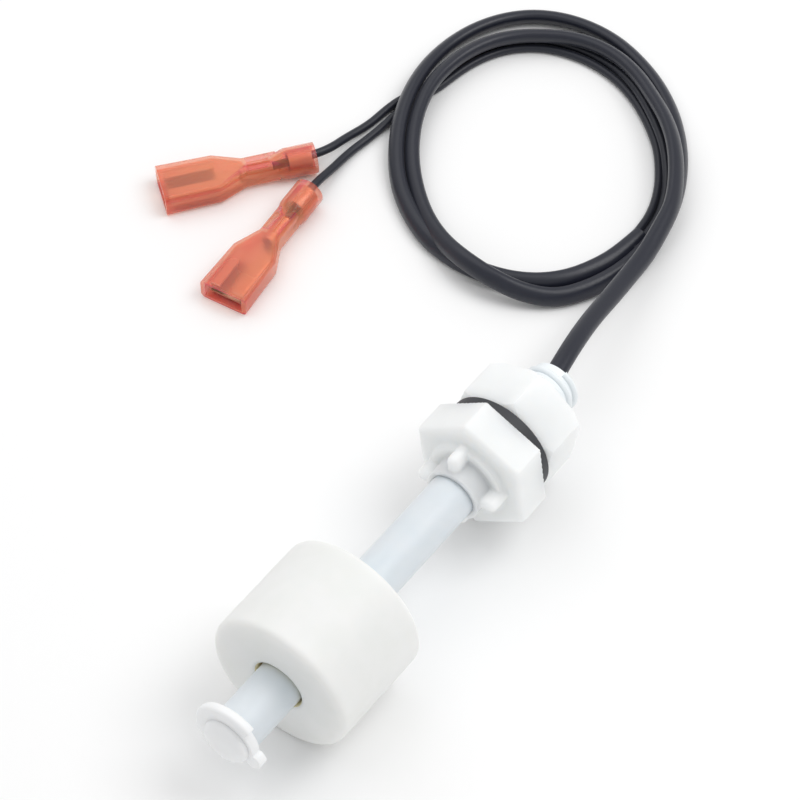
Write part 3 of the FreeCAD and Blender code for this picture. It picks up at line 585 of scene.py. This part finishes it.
def link_mesh(name, verts, faces, material):
    """A mesh object with its doubles merged, normals outwards and smooth shading."""
    mesh = bpy.data.meshes.new(name)
    mesh.from_pydata(verts, [], faces)
    work = bmesh.new()
    work.from_mesh(mesh)
    bmesh.ops.remove_doubles(work, verts=work.verts, dist=WELD)
    bmesh.ops.recalc_face_normals(work, faces=work.faces)
    work.to_mesh(mesh)
    work.free()
    mesh.materials.append(material)
    mesh.shade_smooth()
    mesh.set_sharp_from_angle(angle=SMOOTH_ANGLE)
    piece = bpy.data.objects.new(name, mesh)
    bpy.context.scene.collection.objects.link(piece)
    return piece


def spun(name, corners, material):
    """A closed profile spun once round the X axis."""
    profile = rounded_profile(corners)
    count = len(profile)
    verts, faces = [], []
    for k in range(SPIN_SIDES):
        turn = math.tau * k / SPIN_SIDES
        verts += [(p.x, p.y * math.cos(turn), p.y * math.sin(turn)) for p in profile]
        a, b = k * count, (k + 1) % SPIN_SIDES * count
        for j in range(count):
            n = (j + 1) % count
            faces.append((a + j, a + n, b + n, b + j))
    return link_mesh(name, verts, faces, material)


def dress(piece, body, slot, *replaced):
    """Attach a piece to its body and hide the solids that it stands for; the slot is not used.
    """
    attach(piece, body)
    if replaced:
        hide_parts(*replaced)


def second_finish(piece, material, chosen):
    """Give the faces that a test on (x, distance from the axis) picks a second finish."""
    piece.data.materials.append(material)
    for face in piece.data.polygons:
        if chosen(face.center.x, math.hypot(face.center.y, face.center.z)):
            face.material_index = 1


# %% [markdown]
# The stem is a tube that is closed at its nose. A groove behind the nose takes the clip,
# and the nose itself is slightly domed. A profile makes the tube, the groove and the dome
# in one go. The nose is the stem's own moulding, and it gets the clip's whiter finish as
# painted light, for the light that scatters in its thick end.

# %% Stem
CLIP_FRONT, CLIP_REAR = clip_low.x, clip_high.x
HEAD_RADIUS = STEM_RADIUS + 0.12 * MM
GROOVE_RADIUS = STEM_RADIUS - 1.0 * MM
GROOVE_FRONT = CLIP_FRONT + 0.12 * MM
GROOVE_REAR = CLIP_REAR + 0.05 * MM
STEM_BORE = 2.6 * MM
STEM_BORE_END = -65.2 * MM
NOSE_FLAT = 1.5 * MM
NOSE_RISE = 1.4 * MM
NOSE_STEPS = 8


def nose_dome():
    """Profile corners of the domed nose, from its flat middle to its rim."""
    turns = [math.pi / 2 * k / NOSE_STEPS for k in range(NOSE_STEPS + 1)]
    return [(stem_low.x + NOSE_RISE * (1 - math.cos(t)),
             NOSE_FLAT + (HEAD_RADIUS - NOSE_FLAT) * math.sin(t), 0) for t in turns]


stem = spun("stem", [
    (stem_low.x, 0.0, 0), *nose_dome(),
    (GROOVE_FRONT, HEAD_RADIUS, 0), (GROOVE_FRONT, GROOVE_RADIUS, 0),
    (GROOVE_REAR, GROOVE_RADIUS, 0), (GROOVE_REAR, STEM_RADIUS, 0.12 * MM),
    (stem_high.x, STEM_RADIUS, 0.1 * MM), (stem_high.x, STEM_BORE, 0),
    (STEM_BORE_END, STEM_BORE, 0), (STEM_BORE_END, 0.0, 0),
], clear_pp)
# Painted light: the nose takes the clip's whiter finish for the light that scatters in its thick
# end.
second_finish(stem, clip_pp, lambda x, r: x < CLIP_FRONT)
dress(stem, "switch", "stem_natural", "stem_tube")
print("stem faces", len(stem.data.polygons))

# %% [markdown]
# The float is a hollow ring: an outer wall, a front wall and a tube round the stem in one
# moulding, closed at the back by its cap. It has large soft edges. The faces near the stem
# get a second finish, a pale warm yellow that is a painted glint, for the light that shines
# in through the gap round the stem. The gasket is a flat ring.

# %% Float and gasket
FLOAT_BORE = 4.3 * MM
FLOAT_CORE = FLOAT_BORE + 1.2 * MM
FLOAT_WALL = 1.6 * MM
FLOAT_INSIDE = FLOAT_RADIUS - FLOAT_WALL
FLOAT_ROUND = 1.5 * MM
FLOAT_BORE_ROUND = 0.9 * MM
CAP_FACE = float_high.x - 1.8 * MM
GLINT_REACH = FLOAT_BORE + 0.3 * MM
float_body = spun("float_body", [
    (float_low.x, FLOAT_BORE, FLOAT_BORE_ROUND), (float_low.x, FLOAT_RADIUS, FLOAT_ROUND),
    (float_high.x, FLOAT_RADIUS, FLOAT_ROUND), (float_high.x, FLOAT_INSIDE, 0.05 * MM),
    (float_low.x + FLOAT_WALL, FLOAT_INSIDE, 0), (float_low.x + FLOAT_WALL, FLOAT_CORE, 0),
    (CAP_FACE, FLOAT_CORE, 0), (CAP_FACE, FLOAT_BORE, 0),
], float_pp)
# Painted glint: the faces near the stem take the pale yellow finish, for light through the gap
# round the stem.
second_finish(float_body, bore_glint_pp, lambda x, r: r < GLINT_REACH)
dress(float_body, "float", "float_white", "float_shell")

GASKET_BORE = 4.91 * MM
GASKET_RIM = gasket_high.z - 0.2 * MM
GASKET_ROUND = 0.25 * MM
gasket_ring = spun("gasket_ring", [
    (gasket_low.x, GASKET_BORE, 0), (gasket_low.x, GASKET_RIM, GASKET_ROUND),
    (gasket_high.x, GASKET_RIM, GASKET_ROUND), (gasket_high.x, GASKET_BORE, 0),
], nitrile_rubber)
dress(gasket_ring, "seal", "gasket_rubber", "gasket")
print("float faces", len(float_body.data.polygons), "gasket", len(gasket_ring.data.polygons))

# %% [markdown]
# The nut and the clip have edges that no spin gives. Each is a copy of its solid. A solid
# comes as loose triangles, so the copy is welded and its flat faces are made whole first,
# and then a bevel softens its sharp edges, so that they catch the light.

# %% Nut and clip
COPY_WELD = 2e-6
FLAT_ANGLE = math.radians(0.5)
SHARP_ANGLE = math.radians(28)


def welded_copy(name, node, material):
    """A copy of a solid's mesh with its doubles merged and its flat faces whole."""
    mesh = nodes[node].data.copy()
    mesh.name = name
    work = bmesh.new()
    work.from_mesh(mesh)
    bmesh.ops.remove_doubles(work, verts=work.verts, dist=COPY_WELD)
    bmesh.ops.dissolve_limit(work, angle_limit=FLAT_ANGLE, verts=work.verts, edges=work.edges)
    work.to_mesh(mesh)
    work.free()
    mesh.materials.clear()
    mesh.materials.append(material)
    piece = bpy.data.objects.new(name, mesh)
    bpy.context.scene.collection.objects.link(piece)
    return piece


def apply_modifiers(piece):
    """Turn the piece's modified shape into its plain mesh."""
    bpy.context.view_layer.update()
    shape = piece.evaluated_get(bpy.context.evaluated_depsgraph_get())
    mesh = bpy.data.meshes.new_from_object(shape)
    piece.modifiers.clear()
    piece.data = mesh
    return piece


def softened(piece, width_mm, segments):
    """Bevel the sharp edges and shade the rest smooth."""
    bevel = piece.modifiers.new("soft_edges", "BEVEL")
    bevel.width = width_mm * MM
    bevel.segments = segments
    bevel.limit_method = "ANGLE"
    bevel.angle_limit = SHARP_ANGLE
    bevel.harden_normals = True
    bevel.use_clamp_overlap = True
    piece.data.shade_smooth()
    return apply_modifiers(piece)


nut = softened(welded_copy("nut", "lock_nut", white_pp), 0.6, 5)
dress(nut, "nut", "nut_white", "lock_nut")
clip = softened(welded_copy("clip", "retaining_clip", clip_pp), 0.12, 3)
dress(clip, "switch", "clip_white", "retaining_clip")
print("nut faces", len(nut.data.polygons), "clip", len(clip.data.polygons))

# %% [markdown]
# The flange, its raised ring, the ribs and the collar are one moulding, and they run into
# each other in soft hollows. A bevel can't make those. So the flange is cut off behind the
# gasket, a spun ring with hollow flanks is laid over it, and both are remeshed into one
# skin of small faces, which is then smoothed.

# %% Flange
CUT_PLANE = gasket_high.x
FLANGE_FACE = -6.57 * MM
COLLAR_RADIUS = 4.9 * MM
RING_TOP = FLANGE_FACE - 1.07 * MM
RING_INNER, RING_OUTER, RING_FOOT = 6.15 * MM, 6.8 * MM, 7.15 * MM
RING_ROUND = 0.5 * MM
SKIRT = 8.3 * MM
SUNK = FLANGE_FACE + 0.3 * MM
VOXEL = 0.17 * MM
SMOOTH_PASSES = 5


def flange_copy():
    """The flange, ribs and collar, cut off where the gasket hides the stub, and closed."""
    piece = welded_copy("flange", "threaded_body", white_pp)
    cut = bmesh.new()
    cut.from_mesh(piece.data)
    everything = list(cut.verts) + list(cut.edges) + list(cut.faces)
    bmesh.ops.bisect_plane(cut, geom=everything, plane_co=(CUT_PLANE, 0, 0),
                           plane_no=(1, 0, 0), clear_outer=True)
    bmesh.ops.bridge_loops(cut, edges=[e for e in cut.edges if e.is_boundary])
    bmesh.ops.recalc_face_normals(cut, faces=cut.faces)
    cut.to_mesh(piece.data)
    cut.free()
    return piece


def grown_together(piece, other):
    """Join two closed pieces into one skin of small faces, and smooth it so they blend."""
    both = bmesh.new()
    both.from_mesh(piece.data)
    both.from_mesh(other.data)
    both.to_mesh(piece.data)
    both.free()
    bpy.data.objects.remove(other)
    remesh = piece.modifiers.new("one_skin", "REMESH")
    remesh.mode = "VOXEL"
    remesh.voxel_size = VOXEL
    remesh.use_smooth_shade = True
    smooth = piece.modifiers.new("soft_edges", "SMOOTH")
    smooth.factor = 0.5
    smooth.iterations = SMOOTH_PASSES
    return apply_modifiers(piece)


ring_blend = spun("ring_blend", [
    (SUNK, COLLAR_RADIUS - 0.2 * MM, 0),
    (FLANGE_FACE - 2.6 * MM, COLLAR_RADIUS - 0.03 * MM, 0),
    (FLANGE_FACE - 0.75 * MM, COLLAR_RADIUS + 0.05 * MM, 9 * MM),
    (RING_TOP, RING_INNER, RING_ROUND), (RING_TOP, RING_OUTER, RING_ROUND),
    (FLANGE_FACE - 0.08 * MM, RING_FOOT, 4 * MM),
    (FLANGE_FACE + 0.04 * MM, SKIRT, 0), (SUNK, SKIRT, 0),
], white_pp)
flange = grown_together(flange_copy(), ring_blend)
flange.data.materials.clear()
flange.data.materials.append(white_pp)
dress(flange, "switch", "body_white", "threaded_body")
print("flange faces", len(flange.data.polygons))

# %% [markdown]
# The solid's stub is plain, at the thread's outer size. Here it is spun again at the
# thread's root, and the ridge of the thread is laid on it in the next cell. The cable's
# way runs through it.

# %% Stub
THREAD_MAJOR = 4.7625 * MM
THREAD_PITCH = 1.5875 * MM
THREAD_DEPTH = 0.55 * MM
THREAD_ROOT = THREAD_MAJOR - THREAD_DEPTH
STUB_END = body_high.x
CABLE_BORE = 3.2 * MM
stub = spun("threaded_stub", [
    (CUT_PLANE, CABLE_BORE, 0), (CUT_PLANE, THREAD_ROOT, 0),
    (STUB_END, THREAD_ROOT, 0.25 * MM), (STUB_END, CABLE_BORE, 0.15 * MM),
], stub_pp)
dress(stub, "switch", "body_white")
print("stub faces", len(stub.data.polygons))

# %% [markdown]
# A thread is one ridge that winds along a helix. It could be drawn as a bump, but its
# turns show in the outline of the stub, so it is geometry: a Geometry Nodes tree sweeps a
# small trapezium along a spiral curve. The ridge starts inside the stub, so that it grows
# out of it, and it shrinks over its last turn as a real thread runs out.

# %% Thread
HELIX_STEPS = 96
FOOT_SHARE, CREST_SHARE = 0.46, 0.1
THINNEST = 0.15
SUNK_FOOT = 0.12 * MM
RUN_OUT = 0.3 * THREAD_PITCH


def helix_path(tree, given):
    """A spiral curve about Z, with a radius that shrinks over the fade at its end."""
    turns = add(tree, "ShaderNodeMath", {"operation": "DIVIDE"}, links={
        0: given["Length"], 1: given["Pitch"]})
    helix = add(tree, "GeometryNodeCurveSpiral", inputs={"Resolution": HELIX_STEPS}, links={
        "Rotations": turns.outputs[0], "Start Radius": given["Root Radius"],
        "End Radius": given["Root Radius"], "Height": given["Length"]})
    upright = add(tree, "GeometryNodeSetCurveNormal", {"mode": "Z_UP"},
                  links={"Curve": helix.outputs[0]})
    share = add(tree, "GeometryNodeSplineParameter")
    travelled = add(tree, "ShaderNodeMath", {"operation": "MULTIPLY"}, links={
        0: share.outputs["Factor"], 1: given["Length"]})
    left = add(tree, "ShaderNodeMath", {"operation": "SUBTRACT"}, links={
        0: given["Length"], 1: travelled.outputs[0]})
    faded = add(tree, "ShaderNodeMath", {"operation": "DIVIDE"}, links={
        0: left.outputs[0], 1: given["Fade"]})
    size = add(tree, "ShaderNodeClamp", inputs={"Min": THINNEST},
               links={"Value": faded.outputs[0]})
    sized = add(tree, "GeometryNodeSetCurveRadius", links={
        "Curve": upright.outputs[0], "Radius": size.outputs[0]})
    return sized.outputs[0]


def ridge_section(tree, given):
    """The ridge's trapezium. The spiral's normal points inwards, so the crest is at -Depth."""
    crest = add(tree, "ShaderNodeMath", {"operation": "MULTIPLY"}, inputs={1: -1.0},
                links={0: given["Depth"]}).outputs[0]
    foot = given["Foot"]
    section = ((foot, -FOOT_SHARE), (crest, -CREST_SHARE), (crest, CREST_SHARE),
               (foot, FOOT_SHARE))
    corners = {}
    for number, (rise, share) in enumerate(section, 1):
        across = add(tree, "ShaderNodeMath", {"operation": "MULTIPLY"}, inputs={1: share},
                     links={0: given["Pitch"]})
        corner = add(tree, "ShaderNodeCombineXYZ", links={"X": rise, "Y": across.outputs[0]})
        corners[f"Point {number}"] = corner.outputs[0]
    ridge = add(tree, "GeometryNodeCurvePrimitiveQuadrilateral", {"mode": "POINTS"},
                links=corners)
    return ridge.outputs[0]


def thread_tree():
    """Geometry Nodes that sweep a thread's ridge along a helix about the X axis."""
    tree = bpy.data.node_groups.new("thread_ridge", "GeometryNodeTree")
    sockets = tree.interface
    sockets.new_socket("Geometry", in_out="OUTPUT", socket_type="NodeSocketGeometry")
    for name in ("Pitch", "Root Radius", "Depth", "Foot", "Start", "Length", "Fade"):
        sockets.new_socket(name, in_out="INPUT", socket_type="NodeSocketFloat")
    sockets.new_socket("Plastic", in_out="INPUT", socket_type="NodeSocketMaterial")
    given = add(tree, "NodeGroupInput").outputs
    swept = add(tree, "GeometryNodeCurveToMesh", inputs={"Fill Caps": True}, links={
        "Curve": helix_path(tree, given), "Profile Curve": ridge_section(tree, given)})
    place = add(tree, "ShaderNodeCombineXYZ", links={"X": given["Start"]})
    laid = add(tree, "GeometryNodeTransform", inputs={"Rotation": (0, math.pi / 2, 0)}, links={
        "Geometry": swept.outputs[0], "Translation": place.outputs[0]})
    whole = add(tree, "GeometryNodeRealizeInstances", links={"Geometry": laid.outputs[0]})
    coloured = add(tree, "GeometryNodeSetMaterial", links={
        "Geometry": whole.outputs[0], "Material": given["Plastic"]})
    add(tree, "NodeGroupOutput", links={"Geometry": coloured.outputs[0]})
    return tree


def grown_mesh(name, tree, values):
    """A plain mesh object from a Geometry Nodes tree and the values of its inputs."""
    piece = bpy.data.objects.new(name, bpy.data.meshes.new(name))
    bpy.context.scene.collection.objects.link(piece)
    modifier = piece.modifiers.new(name, "NODES")
    modifier.node_group = tree
    for item in tree.interface.items_tree:
        if item.in_out == "INPUT":
            modifier[item.identifier] = values[item.name]
    return apply_modifiers(piece)


thread = grown_mesh("thread_turns", thread_tree(), {
    "Pitch": THREAD_PITCH, "Root Radius": THREAD_ROOT, "Depth": THREAD_DEPTH,
    "Foot": SUNK_FOOT, "Start": CUT_PLANE, "Length": STUB_END - RUN_OUT - CUT_PLANE,
    "Fade": THREAD_PITCH, "Plastic": stub_pp,
})
dress(thread, "switch", "body_white")
thread_radius = max(math.hypot(v.co.y, v.co.z) for v in thread.data.vertices)
print("thread radius", round(thread_radius / MM, 2))

# %% [markdown]
# The terminals are fully insulated push-on receptacles. Their housings are moulded in
# orange-red nylon that light passes through, so the tinned brass inside shows as a warm
# darker shape. Their sharper edges get a painted pinker tint, for the deeper colour that
# light takes through more nylon there. Glass-like transmission would bend and blur what is
# inside, so the shader mixes plain transparency, most where a face is seen straight on,
# with a scattering base under a glossy coat.

# %% Terminal housings
NYLON, NYLON_PAINTED_EDGE = "#FFA47C", "#F05F7C"
PAINTED_EDGE_BAND = (0.505, 0.57)
CLEAR_FACING, CLEAR_SIDEWAYS = 0.84, 0.25


def translucent_nylon():
    """Translucent nylon: clear face on, with a painted pinker tint at its sharper edges."""
    material, tree, shader = surface("moulded_translucent_nylon", NYLON, 0.17, IOR=1.53,
                                     Subsurface_Weight=0.5, Coat_Weight=1.0,
                                     Coat_Roughness=0.05)
    shader.inputs["Subsurface Radius"].default_value = (1.0, 0.45, 0.3)
    shader.inputs["Subsurface Scale"].default_value = 1.8 * MM
    grain(tree, shader, 1.3, 0.05, 0.5)
    # Painted tint: pointiness paints the sharper edges pinker, for light that runs through more
    # nylon there.
    painted_edge_tint = add(tree, "ShaderNodeNewGeometry").outputs["Pointiness"]
    blended(tree, shader, painted_edge_tint, zip(PAINTED_EDGE_BAND, (NYLON, NYLON_PAINTED_EDGE)))
    clear = add(tree, "ShaderNodeBsdfTransparent", inputs={"Color": colour("#FFE6DA")})
    facing = add(tree, "ShaderNodeLayerWeight", inputs={"Blend": 0.35})
    share = add(tree, "ShaderNodeMapRange",
                inputs={"To Min": CLEAR_FACING, "To Max": CLEAR_SIDEWAYS},
                links={"Value": facing.outputs["Facing"]})
    mixed = add(tree, "ShaderNodeMixShader", links={
        0: share.outputs[0], 1: shader.outputs[0], 2: clear.outputs[0]})
    tree.links.new(mixed.outputs[0], tree.nodes["Material Output"].inputs["Surface"])
    return material


nylon = translucent_nylon()
housings = {}
for letter in "ab":
    copy = welded_copy(f"housing_{letter}", f"terminal_{letter}_housing", nylon)
    housings[letter] = softened(copy, 0.12, 3)
    dress(housings[letter], "switch", "terminal_nylon", f"terminal_{letter}_housing")
    print(copy.name, "faces", len(copy.data.polygons))

# %% [markdown]
# The cords are attached to the switch, and the solids that they stand for are hidden. The
# jacket leaves the potting in the stub; each core leaves the jacket's end and ends in its
# terminal.


dress(jacket, "switch", "jacket", "cable_jacket", "cable_coil")
dress(core_a, "switch", "core_insulation", "core_a")
dress(core_b, "switch", "core_insulation", "core_b")
spline_length(core_a)
spline_length(core_b)
